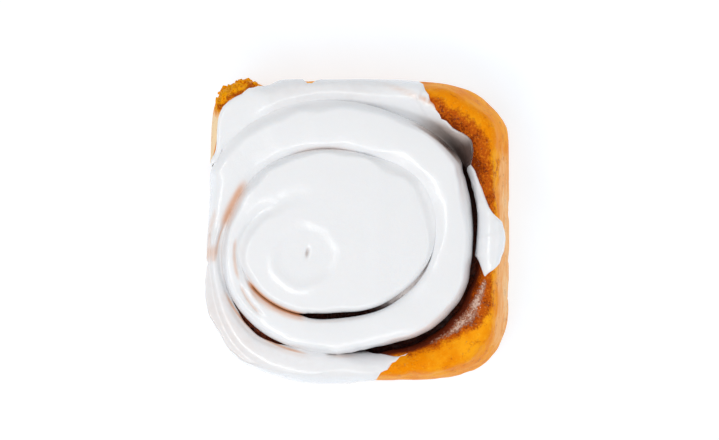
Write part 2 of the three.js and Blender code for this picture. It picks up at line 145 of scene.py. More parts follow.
# The icing on the outer lap: its inner edge from the seam, and its outer edge from the crust's outer shoulder,
# which past nothing runs on down the side
INNER_EDGE = [
    (999, -4), (1006, -2.4), (1010, -1.2), (1013, -0.4), (1018.4, 0.2), (1025.3, 1.6), (1031.6, 3.7), (1037, 2.8),
    (1101, 2), (1106, 0.2), (1110, -4),
]
OUTER_EDGE = [
    (848, 2), (862, 4), (880, 5), (893, 6), (899, 7), (903, 9), (908, 15), (918, 24), (930, 28), (945, 24), (958, 27),
    (975, 20), (990, 19), (1004, 9), (1011, 4), (1014.1, 1.4), (1016.2, 0.4), (1023.3, -3.3), (1028.5, -6.9),
    (1032.8, -9.8), (1036.5, -12.3), (1104, -13.6), (1107.6, -12.4), (1109.5, -11.5), (1112.1, -11.2),
    (1114.7, -10.9), (1117.2, -11.7), (1120.8, -13), (1124.1, -12.1), (1127, -10.4), (1130.1, -7.5), (1132.9, -3.9),
    (1135.6, -0.6), (1138.5, 1.8), (1150, 3.2), (1160, 2.8), (1164.5, 2.0), (1166.6, 0.0), (1167.6, -1.0),
    (1170, -1.0), (1171.3, 0.3), (1183, 0.3), (1185.2, -0.6), (1188.6, -2.4), (1193.2, -4.6), (1197.9, -4.3),
    (1201, -3.7), (1204, -3.3), (1211, -2.8), (1214, -1.8), (1216, -0.3), (1218, 0.4),
]
# How far the icing stands out from the crust's side where it runs down over it
SKIRT = [
    (848, 0.5), (863, 0.8), (898, 0.7), (905, 0.9), (910, 1.7), (917, 2.7), (925, 3.6), (932, 3.9), (938, 3.3),
    (944, 2.9), (952, 3.2), (958, 3.0), (967, 1.9), (977, 1.5), (987, 1.8), (996, 1.9), (1008, 1.5), (1014, 0.6),
    (1138, 0.7), (1150, 0.9), (1164, 0.8), (1168, 0.3), (1171, 0.7), (1176, 0.4), (1190, 0.5), (1204, 0.3),
    (1214, 0.3), (1218, 0.5), (1222, 0.5),
]
# How far from the seam the cinnamon has soaked into the bare outer lap
SOAKED = [
    (1008, 0.6), (1014, 1.4), (1022, 2.0), (1032, 3.4), (1039, 4.4), (1046, 5.6), (1052, 8), (1057, 10.6),
    (1063, 10.6), (1069, 8.6), (1073, 6), (1082, 5), (1091, 5.4), (1099, 7), (1107, 9.8), (1112, 12), (1116.5, 13),
    (1123, 12.2), (1129, 11.4), (1140, 10.6), (1150, 4), (1160, -3),
]
# Where icing has smeared thinly over the soaked crust: distance of its middle from the seam, and half its width
MILKY = [
    (1040, 2.0, 0.8), (1047, 3.2, 1.0), (1051, 4.0, 1.4), (1058, 4.9, 2.3), (1062, 5.2, 2.3), (1066, 5.1, 1.5),
    (1072, 4.8, 0.7),
]
# How grey the icing is in the bottom of the seam at the end of the middle groove
GLAZE = [(312, 0), (322, 0.3), (345, 0.34), (364, 0)]

# Folds and furrows in the icing: first and last angle, distance from the dimple at each, width, height (a furrow when
# it is less than nothing) and how much brown shows
FOLDS = [
    (543, 602, 24.2, 26.6, 0.5, 0.5, 0), (524, 566, 26.7, 27.1, 0.9, -0.5, 0.42),
    (562, 596, 27.2, 28.6, 0.7, -0.9, 0.4), (560, 596, 29.7, 30.2, 0.7, 0.5, 0), (574, 600, 26.2, 27.6, 0.4, 0.3, 0),
    (878, 905, 33.6, 34.6, 0.6, 0.6, 0), (876, 908, 32.2, 34.0, 0.5, -0.5, 0.5),
    (870, 906, 37.4, 36.2, 1.2, 0.0, 0.35), (893, 908, 33.4, 35.2, 1.4, 0.0, 0.4),
    (538, 560, 23.6, 24.2, 0.6, -0.3, 0.3),
]
# Where the cinnamon shows through beside a seam, and painted shade in the crease over the core in the row from 418 to
# 466: angles of the seam, place and width across it, and strength
SHOWS_THROUGH = [
    (200, 274, 0.2, 1.0, 0.85), (206, 276, 1.5, 1.4, 0.42), (262, 320, 1.7, 0.9, 0.22), (485, 530, 1.1, 1.8, 0.62),
    (524, 570, 0.1, 0.5, 0.2), (556, 640, 2.2, 1.6, 0.24), (560, 636, 1.1, 0.6, 0.62), (418, 466, 0.0, 1.1, 0.25),
    (190, 218, -0.6, 0.6, 0.3), (634, 664, 0.8, 1.0, 0.3), (806, 850, 0.0, 0.5, 0.1),
]
# The run of icing on the crust: angle, distance of its two edges from the dimple, and thickness
RUN = np.array([
    [1072.4, 66.3, 66.5, 0.1], [1073.2, 65.9, 67.3, 0.6], [1074.7, 65.3, 68.8, 1.3], [1077, 64.4, 70.5, 1.9],
    [1080, 63.1, 71.7, 2.3], [1083, 62.3, 72.2, 2.5], [1086, 61.7, 72.1, 2.4], [1089, 61.6, 71.3, 2.1],
    [1092, 61.9, 70.2, 1.7], [1095, 62.5, 69.4, 1.4], [1098, 63.1, 69.0, 1.2], [1101, 64.1, 69.0, 1.0],
    [1103.5, 65.3, 69.1, 0.9], [1105.8, 66.3, 69.2, 0.7], [1107.6, 67.4, 69.0, 0.5], [1108.6, 68.3, 68.7, 0.1],
])
# Lamps of the stage, all aimed at the roll: place, width and height in metres, and power
LAMPS = {
    "key_left": ((-0.53, 0.04, 0.95), 0.48, 0.15, 1.6),
    "key_middle": ((-0.38, -0.38, 0.95), 0.48, 0.15, 2.2),
    "key_front": ((0.0, -0.53, 0.95), 0.48, 0.15, 1.1),
    "fill_back": ((0.3, 0.8, 0.8), 0.9, 0.9, 0.5),
    "fill_right": ((0.9, 0.05, 0.5), 0.9, 0.6, 1.6),
}


def column(values):
    """One value for each row of a grid."""
    return values[:, None]


def blend(low, high, share):
    """The value a share of the way from one to the other."""
    return low + (high - low) * share


def smooth(share):
    """Eases from 0 to 1: three times the square less twice the cube."""
    share = np.clip(share, 0.0, 1.0)
    return share * share * (3.0 - 2.0 * share)


def window(value, low, high, ease_in, ease_out):
    """1 between two values, eased up from nothing past the first and down to nothing before the second."""
    return smooth((value - low) / ease_in) * smooth((high - value) / ease_out)


def hump(offset, width, power=2):
    """Bell curve: 1 at no offset, falling to a third at one width, with a flatter top for a higher power."""
    return np.exp(-((offset / width) ** power))


def eased(rows, angle):
    """Values at each angle of a table of angle and values, eased between its rows and level beyond them."""
    angles, *columns = np.array(rows, float).T
    row = np.clip(np.searchsorted(angles, angle, side="right") - 1, 0, len(angles) - 2)
    share = smooth((angle - angles[row]) / (angles[row + 1] - angles[row]))
    values = [blend(entries[row], entries[row + 1], share) for entries in columns]
    return values if len(values) > 1 else values[0]


def through(values, spot):
    """Catmull-Rom curve through evenly spaced values, at whole and part places."""
    row = np.clip(np.floor(spot).astype(int), 0, len(values) - 2)
    part = spot - row
    before, here, after, beyond = (values[np.clip(row + k, 0, len(values) - 1)] for k in (-1, 0, 1, 2))
    square = (2 * before - 5 * here + 4 * after - beyond) * part**2
    cube = (3 * here - before - 3 * after + beyond) * part**3
    return 0.5 * (2 * here + (after - before) * part + square + cube)


def waves(points, spacing, seed):
    """A smooth random field of about unit spread: a sum of 22 plane waves in random directions."""
    random = np.random.default_rng(seed)
    directions = random.normal(size=(22, 3))
    directions /= np.linalg.norm(directions, axis=1, keepdims=True) * random.uniform(0.7, 1.6, (22, 1)) * spacing
    return np.cos(2 * np.pi * (points @ directions.T + random.random(22))).sum(-1) * math.sqrt(2 / 22)


def plan(angle, radius):
    """Plan coordinates from an angle and a distance about the dimple."""
    turn = np.radians(angle)
    return DIMPLE[0] + radius * np.cos(turn), DIMPLE[1] + radius * np.sin(turn)


def place(angle, radius, height):
    """Points of three coordinates from an angle and a distance about the dimple, and a height."""
    return np.stack(np.broadcast_arrays(*plan(angle, radius), height), axis=-1)


def from_right(angle):
    """Degrees past straight right, from -180 to 180."""
    return (angle + 180) % 360 - 180


def seam_radius(angle):
    """Distance of the seam from the dimple: the table's curve, and inside it the next lap out, shrunk and tapered."""
    scale = np.ones_like(angle)
    for _ in range(3):
        hidden = angle < SEAM_FIRST
        taper = np.clip((angle - TAPER_START) / TAPER_LENGTH, 0.0, 1.0)
        scale = np.where(hidden, scale * HIDDEN_SHRINK * taper, scale)
        angle = np.where(hidden, angle + 360.0, angle)
    return scale * through(SEAM_RADII, (angle - SEAM_FIRST) / SEAM_STEP)


def side_radius(angle):
    """Distance from the dimple to the roll's side. The plan is a superellipse whose power is eased from corner to
    corner and across each corner, and the distance is found by halving. Just left of straight back the side is
    dented and then bulges a little."""
    turn = np.radians(angle)
    c, s = np.cos(turn), np.sin(turn)
    near, far = np.zeros_like(c), np.full_like(c, 2 * ROLL_HALF.sum())
    for _ in range(32):
        r = (near + far) / 2
        x = (DIMPLE[0] + r * c - ROLL_CENTRE[0]) / ROLL_HALF[0]
        y = (DIMPLE[1] + r * s - ROLL_CENTRE[1]) / ROLL_HALF[1]
        beside = smooth((np.abs(x) - np.abs(y)) / 0.45)
        power = {corner: blend(*powers, beside) for corner, powers in CORNER_SQUARENESS.items()}
        right, back = smooth((x + 0.4) / 0.8), smooth((y + 0.4) / 0.8)
        front_power = blend(power["front_left"], power["front_right"], right)
        back_power = blend(power["back_left"], power["back_right"], right)
        p = blend(front_power, back_power, back)
        outside = np.abs(x) ** p + np.abs(y) ** p > 1.0
        near, far = np.where(outside, near, r), np.where(outside, r, far)
    return near - 2.2 * hump(angle % 360.0 - 103.6, 3.2) + 0.8 * hump(angle % 360.0 - 112, 5.0)


def lap_edge(angle):
    """Outer edge of the lap: the seam, and from the tail on the side of the roll."""
    seam, side = seam_radius(angle), side_radius(angle)
    edge = np.where(angle > TAIL_CLEAR, side, (seam + side - np.hypot(seam - side, 1.0)) / 2.0)
    start = np.clip((angle - FILLING_START) / (DOUGH_START - FILLING_START), 0.0, 1.0)
    return edge * np.where(angle < DOUGH_START, start, 1.0)


def core_height(x, y):
    """Top of the icing over the middle laps: a shallow dish with a small slit in it, a low rim that stands up at the
    front left, and a slow fall away from there."""
    dx, dy = x - DIMPLE[0], y - DIMPLE[1]
    r, turn = np.hypot(dx, dy), np.arctan2(dy, dx)
    rim = 12.8 + 0.6 * np.cos(turn + 2.2) + 0.4 * np.cos(3 * turn + 0.5) + 0.25 * np.cos(7 * turn)
    dish = -0.72 * smooth((rim - r) / 4.6) - 0.15 * smooth(1 - r / 7)
    front = hump((turn + 2.25 + np.pi) % (2 * np.pi) - np.pi, 1.0, 4)
    lip = 0.5 * front * hump(r - rim - 0.2, 1.5)
    slit = -1.1 * hump(dx - 0.15 * dy, 0.8) * hump(dy, 1.8)
    ridge = 0.3 * hump(x - 7.5, 3.0) * smooth((r - 16) / 8)
    return ROLL_TOP - 0.6 + dish + lip + slit + ridge - 0.0011 * np.clip(r - 14.0, 0, None) ** 2


def bareness(angle):
    """1 on the part of the outer lap that the icing leaves bare."""
    return window(angle, BARE_START, BARE_END, 14, 16)


class Lap:
    """The upright section of the dough at each angle: walls, shoulders and the crest of its rounded top. What differs
    between the inner and the outer half of the top is kept as a pair."""

    def __init__(self, angle, thickness):
        self.angle = angle
        self.free = angle > TAIL_MEETS_SIDE
        self.outer = lap_edge(angle)
        self.inner = np.where(angle - 360.0 < FILLING_START, 0.0, lap_edge(angle - 360.0))
        self.width = self.outer - self.inner
        bare = bareness(angle)
        lean = 1.2 + 3.8 * hump(from_right(angle), 48.0, 4)
        gap_in = blend(self.gap(angle - 360.0, 1), 0.5, bare)
        gap_out = np.where(self.free, lean * np.minimum(1, self.width / 8), self.gap(angle, 0))
        self.top_in = self.inner + np.minimum(gap_in, 0.4 * self.width)
        self.top_out = np.maximum(self.outer - gap_out, self.top_in + 0.3)
        self.middle = blend(self.top_in, self.top_out, blend(0.5, 0.64, bare))
        self.ring = smooth((angle - 440.0) / 80.0)
        core_crest = core_height(*plan(angle, (self.inner + self.outer) / 2)) - thickness
        self.crest = blend(core_crest, eased(RING_CRESTS, angle), self.ring)
        half = (self.top_out - self.top_in) / 2
        shoulder, slope = np.minimum(7.0, 1.1 * half), np.minimum(10.0, 2.2 * half)
        self.run = self.middle - self.top_in, self.top_out - self.middle
        self.drop = blend(shoulder, slope, bare), np.where(self.free, slope, shoulder)
        self.bend = 2 / blend(TOP_POWER, BARE_POWER, bare), np.full_like(angle, 2 / TOP_POWER)
        self.arc = [run + 0.5 * drop for run, drop in zip(self.run, self.drop)]

    @staticmethod
    def gap(seam, outside):
        """Half the gap between two laps at their shoulders, on one side of the seam. It closes beyond the filling."""
        bared = eased(GROOVES, seam)[outside]
        return blend(1.1 + (bared + 0.7) * smooth(bared / 0.3), 0.25, smooth((seam - FILLING_END) / 8.0))

    def halves(self, inwards):
        """Run, drop, bend and arc of the half that each place of a grid is in. The arc is the length that the half
        has in the measure across the lap."""
        pairs = self.run, self.drop, self.bend, self.arc
        return [np.where(inwards, column(inner), column(outer)) for inner, outer in pairs]

    def lean(self, height, inwards):
        """How far the outer side leans out at a height: from just above the shoulder down to the wall's widest."""
        begin = column(self.crest - 0.45 * self.drop[1])
        sink = np.clip((begin - height) / np.maximum(begin - WALL_WIDEST, 1), 0, 1)
        flare = column(np.where(self.free, self.outer - self.top_out, 0.0))
        return np.where(inwards, 0.0, flare * np.sin(sink * np.pi / 2) ** 1.3)

    def surface(self, across):
        """Distance and height at a measure across the lap, nothing at the crest, in millimetres: a quarter
        superellipse to each shoulder, and beyond it straight down the wall."""
        inwards = across < 0
        run, drop, bend, arc = self.halves(inwards)
        turn = np.clip(np.abs(across) / arc, 0, 1) * np.pi / 2
        reach = np.sign(across) * run * np.sin(turn) ** bend
        beyond = np.clip(np.abs(across) - arc, 0, None)
        height = column(self.crest) - drop * (1 - np.cos(turn) ** bend) - beyond
        return column(self.middle) + reach + self.lean(height, inwards), height

    def raised(self, across, lift):
        """Points of the section at measures across the lap, lifted off the dough along its normal."""
        radius, height = self.surface(across)
        before, after = self.surface(across - 0.05), self.surface(across + 0.05)
        dr, dz = after[0] - before[0], after[1] - before[1]
        size = np.maximum(np.hypot(dr, dz), 1e-9)
        return radius - dz / size * lift, height + dr / size * lift

    def height_at(self, radius):
        """Height of the rounded top at a distance, one for each angle and each column of distances."""
        run, drop, bend, _ = self.halves(radius < column(self.middle))
        share = np.clip(np.abs(radius - column(self.middle)) / run, 0, 1)
        return column(self.crest) - drop * (1 - (1 - share ** (2 / bend)) ** (bend / 2))

    def measure_on_top(self, radius):
        """Measure across the lap of one distance for each angle, on the rounded top alone."""
        inwards = radius < self.middle
        run, _, bend, arc = (values[:, 0] for values in self.halves(column(inwards)))
        share = np.clip(np.abs(radius - self.middle) / run, 0, 1) ** (1 / bend)
        return np.where(inwards, -arc, arc) * np.arcsin(share) / (np.pi / 2)

    def measure_at(self, radius):
        """Measure across the lap of one distance for each angle, found by halving on the whole section."""
        near, far = -self.arc[0], self.arc[1] + 8.0
        for _ in range(24):
            half = (near + far) / 2
            short = self.surface(column(half))[0][:, 0] < radius
            near, far = np.where(short, half, near), np.where(short, far, half)
        return near


def crust_relief(points):
    """Height of the slow and the fine bumps of the crust."""
    return sizes().crust_bumps / MM * waves(points, 11.0, 3) + 0.05 * waves(points, 2.6, 4)


def new_mesh(name, points, faces, material, marks):
    """A mesh object from points in millimetres, faces of four corners and named values at the points. Points at one
    place are joined, and a face that this closes up becomes a triangle or goes."""
    points = points.reshape(-1, 3)
    keys = np.round(points / 1e-3).astype(np.int64)
    _, first, joined = np.unique(keys, axis=0, return_index=True, return_inverse=True)
    faces = joined.reshape(-1)[faces]
    same = faces == np.roll(faces, -1, axis=1)
    quads, folded = faces[same.sum(1) == 0], faces[same.sum(1) == 1]
    quads = quads[(quads[:, 0] != quads[:, 2]) & (quads[:, 1] != quads[:, 3])]
    triangles = folded[folded != np.roll(folded, -1, axis=1)]
    mesh = bpy.data.meshes.new(name)
    mesh.vertices.add(len(first))
    mesh.vertices.foreach_set("co", (points[first] * MM).ravel())
    corners = np.concatenate([quads.ravel(), triangles])
    sides = np.repeat([4, 3], [len(quads), len(triangles) // 3])
    mesh.loops.add(len(corners))
    mesh.loops.foreach_set("vertex_index", corners)
    mesh.polygons.add(len(sides))
    mesh.polygons.foreach_set("loop_start", np.cumsum(sides) - sides)
    mesh.polygons.foreach_set("use_smooth", np.ones(len(sides), bool))
    mesh.update(calc_edges=True)
    mesh.validate()
    for label, values in marks.items():
        layer = mesh.attributes.new(label, "FLOAT", "POINT")
        layer.data.foreach_set("value", np.asarray(values, np.float32).reshape(-1)[first])
    mesh.materials.append(material)
    piece = bpy.data.objects.new(name, mesh)
    bpy.context.scene.collection.objects.link(piece)
    return piece


def grid_faces(rows, columns, across_closed=False):
    """Corner numbers of the faces between neighbouring rows and columns of a grid."""
    last = columns if across_closed else columns - 1
    row, here = np.meshgrid(np.arange(rows - 1), np.arange(last), indexing="ij")
    beside = (here + 1) % columns
    faces = [row * columns + here, (row + 1) * columns + here, (row + 1) * columns + beside, row * columns + beside]
    return np.stack(faces, -1).reshape(-1, 4)


def new_tube(name, points, material, **marks):
    """A tube from its rings of points, one to a row, and named values at the points. A fan closes each end ring onto
    its middle, where the values are nothing."""
    rows, columns = points.shape[:2]
    faces = [grid_faces(rows, columns, across_closed=True)[:, ::-1]]
    ring = np.arange(columns)
    for end, around in enumerate((ring[::-1], (rows - 1) * columns + ring)):
        middle = np.full_like(ring, rows * columns + end)
        faces.append(np.stack([around, np.roll(around, -1), middle, middle], -1))
    body = np.concatenate([points.reshape(-1, 3), points[[0, -1]].mean(1)])
    marks = {label: np.append(np.broadcast_to(values, (rows, columns)), [0, 0]) for label, values in marks.items()}
    return new_mesh(name, body, np.concatenate(faces), material, marks)


class Value:
    """A socket of a material, on which arithmetic adds Math nodes."""

    def __init__(self, finish, socket):
        self.finish, self.socket = finish, socket

    def math(self, operation, *values):
        return self.finish.node("ShaderNodeMath", {"operation": operation}, dict(enumerate(values)))

    def __add__(self, other):
        return self.math("ADD", self, other)

    def __sub__(self, other):
        return self.math("SUBTRACT", self, other)

    def __rsub__(self, other):
        return self.math("SUBTRACT", other, self)

    def __mul__(self, other):
        return self.math("MULTIPLY", self, other)

    __radd__, __rmul__ = __add__, __mul__

    def step(self, low, high):
        """0 below low and 1 above high, eased between."""
        inputs = {"Value": self, "From Min": low, "From Max": high}
        return self.finish.node("ShaderNodeMapRange", {"interpolation_type": "SMOOTHSTEP"}, inputs)


class Finish:
    """A material under construction."""

    def __init__(self, name):
        self.material = bpy.data.materials.new(name)
        self.material.use_nodes = True
        self.tree = self.material.node_tree
        self.tree.nodes.clear()

    def node(self, kind, settings=None, inputs=None, output=0):
        """Adds a node of a type, with its settings and with the values or links of its sockets."""
        made = self.tree.nodes.new(kind)
        for key, value in (settings or {}).items():
            setattr(made, key, value)
        for key, value in (inputs or {}).items():
            if isinstance(value, Value):
                self.tree.links.new(value.socket, made.inputs[key])
            else:
                made.inputs[key].default_value = value
        return Value(self, made.outputs[output]) if len(made.outputs) else None

    def mark(self, name):
        """A named value at the mesh's points."""
        return self.node("ShaderNodeAttribute", {"attribute_name": name}, output="Fac")

    def noise(self, size, detail=3.0, rough=0.5, stretch=(1, 1, 1), warp=0.0):
        """Fractal noise whose largest blobs are about size metres across, longer where the stretch is under 1."""
        here = self.node("ShaderNodeTexCoord", output="Object")
        spot = self.node("ShaderNodeMapping", None, {"Vector": here, "Scale": stretch})
        inputs = {"Vector": spot, "Scale": 1 / size, "Detail": detail, "Roughness": rough, "Distortion": warp}
        return self.node("ShaderNodeTexNoise", None, inputs)

    def mix(self, share, low, high):
        """Colour between two colours."""
        low, high = (c if isinstance(c, Value) else (*c, 1) for c in (low, high))
        return self.node("ShaderNodeMix", {"data_type": "RGBA"}, {0: share, 6: low, 7: high}, output=2)

    def bump(self, height, depth, normal=None):
        """Normal of a relief of some metres' depth, on top of another relief's normal if there is one."""
        inputs = {"Height": height, "Distance": depth, "Strength": 1.0}
        if normal is not None:
            inputs["Normal"] = normal
        return self.node("ShaderNodeBump", None, inputs)

    def finished(self, **inputs):
        """The material, with a surface of some values or links."""
        shader = self.node("ShaderNodeBsdfPrincipled", None, {k.replace("_", " "): v for k, v in inputs.items()})
        self.node("ShaderNodeOutputMaterial", None, {"Surface": shader})
        return self.material


def colour(name, words, default):
    return bpy.props.FloatVectorProperty(
        name=name, description=words, default=default, subtype="COLOR", size=3, min=0, max=1
    )


def length(name, words, default):
    return bpy.props.FloatProperty(
        name=name, description=words, default=default, min=0, subtype="DISTANCE", unit="LENGTH"
    )


class RollSizes(bpy.types.PropertyGroup):
    icing: length("Icing", "Thickness of the icing on the crest of a lap", 1.9 * MM)
    icing_waves: length("Icing waves", "Height of the slow waves in the icing", 0.08 * MM)
    crust_bumps: length("Crust bumps", "Height of the slow bumps in the crust", 0.28 * MM)
    crumb: length("Crumb", "Height of the torn crumb at the back left corner", 0.75 * MM)
    filling_grain: length("Filling grain", "Height of the lumps in the filling", 0.3 * MM)


class RollColours(bpy.types.PropertyGroup):
    crust: colour("Crust", "Baked crust", (0.90, 0.27, 0.0))
    crust_light: colour("Light crust", "Less baked crust", (1.0, 0.40, 0.008))
    side: colour("Side", "Pale side that was pulled from its neighbour", (0.93, 0.42, 0.14))
    soaked: colour("Soaked crust", "Crust soaked with cinnamon", (0.20, 0.026, 0.0))
    filling: colour("Filling", "Cinnamon and sugar", (0.014, 0.002, 0.001))
    icing: colour("Icing", "Icing on the crests", (0.87, 0.88, 0.90))
    # Also painted as shade in one crease over the core
    icing_thin: colour("Thin icing", "Icing through which the cinnamon shows", (0.74, 0.36, 0.17))


def sizes():
    return bpy.context.scene.cinnamon_roll_sizes


def colours():
    return bpy.context.scene.cinnamon_roll_colours


# Dough


def steps(low, high, count):
    """Rows of evenly spaced values, each from one low to one high."""
    low, high = np.broadcast_arrays(low, high)
    return column(low) + np.linspace(0, 1, count) * (column(high) - column(low))


def dough_sections(lap):
    """Distances and heights of the dough's closed section at each angle: up the inner wall, over the rounded top,
    down the outer wall, and round its foot to the flat underside."""
    foot_gap = np.where(lap.angle - 360 < FILLING_END, 0.8, 0.25)
    foot_in = lap.inner + np.minimum(foot_gap, 0.4 * lap.width)
    foot_out = lap.outer - np.where(lap.free, 0.0, np.minimum(0.8, 0.35 * lap.width))
    shoulder_in = lap.crest - lap.drop[0]
    inner_z = steps(1.0, shoulder_in, 9)[:, :-1]
    inner_r = blend(column(foot_in), column(lap.top_in), ((inner_z - 1) / column(shoulder_in - 1)) ** 1.5)
    across = np.concatenate([steps(-lap.arc[0], 0.0, 15)[:, :-1], steps(0.0, lap.arc[1], 17)], axis=1)
    top_r, top_z = lap.surface(across)
    depth = lap.crest - lap.drop[1] - FOOT_HEIGHT
    down = steps(0.0, depth, 19)[:, 1:]
    side_r, side_z = lap.surface(column(lap.arc[1]) + down)
    straight = blend(column(lap.top_out), column(foot_out), (down / column(depth)) ** 0.7)
    side_r = np.where(column(lap.free), side_r, straight)
    turn = np.linspace(0, np.pi / 2, 7)[None, 1:]
    curl = np.where(lap.free, np.minimum(3.0, 0.3 * lap.width), 0.3)
    foot_r = column(foot_out - curl) + column(curl) * np.cos(turn)
    foot_z = FOOT_HEIGHT * (1 - np.sin(turn)) * np.ones_like(foot_r)
    under_r = steps(foot_out - curl, foot_in + 0.3 * np.minimum(lap.width, 1), 5)[:, 1:]
    radius = np.concatenate([inner_r, top_r, side_r, foot_r, under_r], axis=1)
    return radius, np.concatenate([inner_z, top_z, side_z, foot_z, 0 * under_r], axis=1)


def section_normals(radius, height):
    """Unit normals of each row's curve, to the left of its run."""
    dr, dz = np.gradient(radius, axis=1), np.gradient(height, axis=1)
    size = np.maximum(np.hypot(dr, dz), 1e-9)
    return -dz / size, dr / size


def torn_share(x, y):
    """Where the crust at the back left corner is torn to crumb, 1 in the middle of it."""
    return smooth((13.0 - np.hypot((x + 47.0) * 0.8, (y - 51.5) * 1.3)) / 6.0)


def soaked_marks(lap, radius, z, torn):
    """How far the crust is soaked beside the seam, falling off over 5.5 mm past the table's reach, how deep in the
    groove a point lies, and how much icing is smeared over it."""
    around, free, inwards = column(lap.angle), column(lap.free), radius < column(lap.middle)
    from_seam = radius - column(lap.inner)
    deep = smooth((column(lap.crest) - 2.0 - z) / 4.0) * (inwards | ~free)
    deep = np.maximum(deep, 0.8 * smooth((3.4 - from_seam) / 2.4) * free * (around < 1070))
    reach = column(eased(SOAKED, lap.angle))
    soak_and_painted_shade = np.where(free, np.clip((reach + 2.0 - from_seam) / 5.5, 0, 1.5), 0.6)
    singed = hump(from_seam - 12.0 + 0.04 * (around - 1190), 0.9) * torn
    line, width = (column(values) for values in eased(MILKY, lap.angle))
    film = window(around, 1041, 1073, 5, 4) * hump(from_seam - line, width)
    film = film * (0.75 + 0.25 * smooth((around - 1050) / 5)) * free
    return np.maximum(np.maximum(soak_and_painted_shade, deep), 0.6 * singed), deep, film


def dough_material():
    finish, c = Finish("baked_dough"), colours()
    grain = finish.noise(0.8 * MM, 3.0, 0.6)
    fine = finish.noise(0.9 * MM, 4.0, 0.6)
    blotch = finish.noise(3.6 * MM, 4.0, 0.6)
    broad = finish.noise(9 * MM, 3.0, 0.55)
    fibre = finish.noise(2.0 * MM, 4.0, 0.65, stretch=(1, 0.14, 0.7), warp=0.4)
    pale, torn, soak_and_painted_shade, deep, film = (finish.mark(name) for name in ("pale", "torn", "soak_and_painted_shade", "deep", "film"))
    crust = finish.mix(broad.step(0.36, 0.66), c.crust, c.crust_light)
    crust = finish.mix((grain * 0.6 + blotch * 0.4).step(0.5, 0.66) * 0.35, crust, (0.75, 0.16, 0.0))
    crust = finish.mix(fine.step(0.54, 0.7) * 0.5, crust, (1.0, 0.50, 0.03))
    # The pale sides, with fibres, and creamier at the end of the strip
    cream = (pale + (fibre - 0.5) * 0.9 + (blotch - 0.5) * 0.5).step(0.85, 1.35)
    pale = pale.step(0.0, 0.35) * (pale + (broad - 0.5) * 0.7 + (fibre - 0.5) * 1.3).step(0.25, 0.85)
    crust = finish.mix(pale, crust, finish.mix(fibre.step(0.35, 0.7), c.side, (1.0, 0.56, 0.24)))
    crust = finish.mix(cream, crust, (0.95, 0.70, 0.42))
    crumb = finish.mix(fine.step(0.36, 0.5), (0.70, 0.15, 0.0), (1.0, 0.40, 0.002))
    crust = finish.mix((torn + (fine - 0.5) * 1.0).step(0.3, 0.7), crust, crumb)
    # Crust that the cinnamon has soaked, darker towards the groove, and painted shade in the pleat's crease
    wet = (soak_and_painted_shade + (grain - 0.5) * 0.8 + (blotch - 0.5) * 1.3).step(0.05, 0.6)
    dark = (soak_and_painted_shade * 0.58 + (grain - 0.5) * 2.0 + (blotch - 0.5) * 1.6).step(0.38, 0.95)
    sugar = finish.mix(fine.step(0.5, 0.64) * 0.6, (0.50, 0.09, 0.002), (0.86, 0.25, 0.01))
    soaked = finish.mix(dark, sugar, c.soaked)
    soaked = finish.mix((deep + (fine - 0.5) * 0.9).step(0.2, 0.8), soaked, (0.15, 0.024, 0.008))
    base = finish.mix(wet, crust, soaked)
    # Thinly smeared icing, with glints of wet sugar in it: painted highlights that are glossy too
    smear = film + (fine - 0.5) * 1.5 + (blotch - 0.5) * 1.3
    base = finish.mix(smear.step(0.3, 0.7) * 0.85, base, (0.36, 0.17, 0.11))
    base = finish.mix(smear.step(0.75, 1.1), base, (0.66, 0.46, 0.37))
    gloss_and_painted_glint = (film * 0.35 + (grain - 0.5) * 3.0 + wet).step(1.5, 1.75)
    # Painted highlights: light orange flecks where the sugar glints
    base = finish.mix(gloss_and_painted_glint * film.step(0.1, 0.5) * 0.8, base, (1.0, 0.62, 0.42))
    relief = finish.bump(fine, 0.16 * MM)
    relief = finish.bump(fibre * pale, 0.4 * MM, relief)
    relief = finish.bump(grain * wet, 0.2 * MM, relief)
    return finish.finished(
        Base_Color=base, Roughness=0.45 + pale * 0.25, Normal=relief, Specular_IOR_Level=0.04,
        Coat_Weight=gloss_and_painted_glint, Coat_Roughness=0.1,
    )


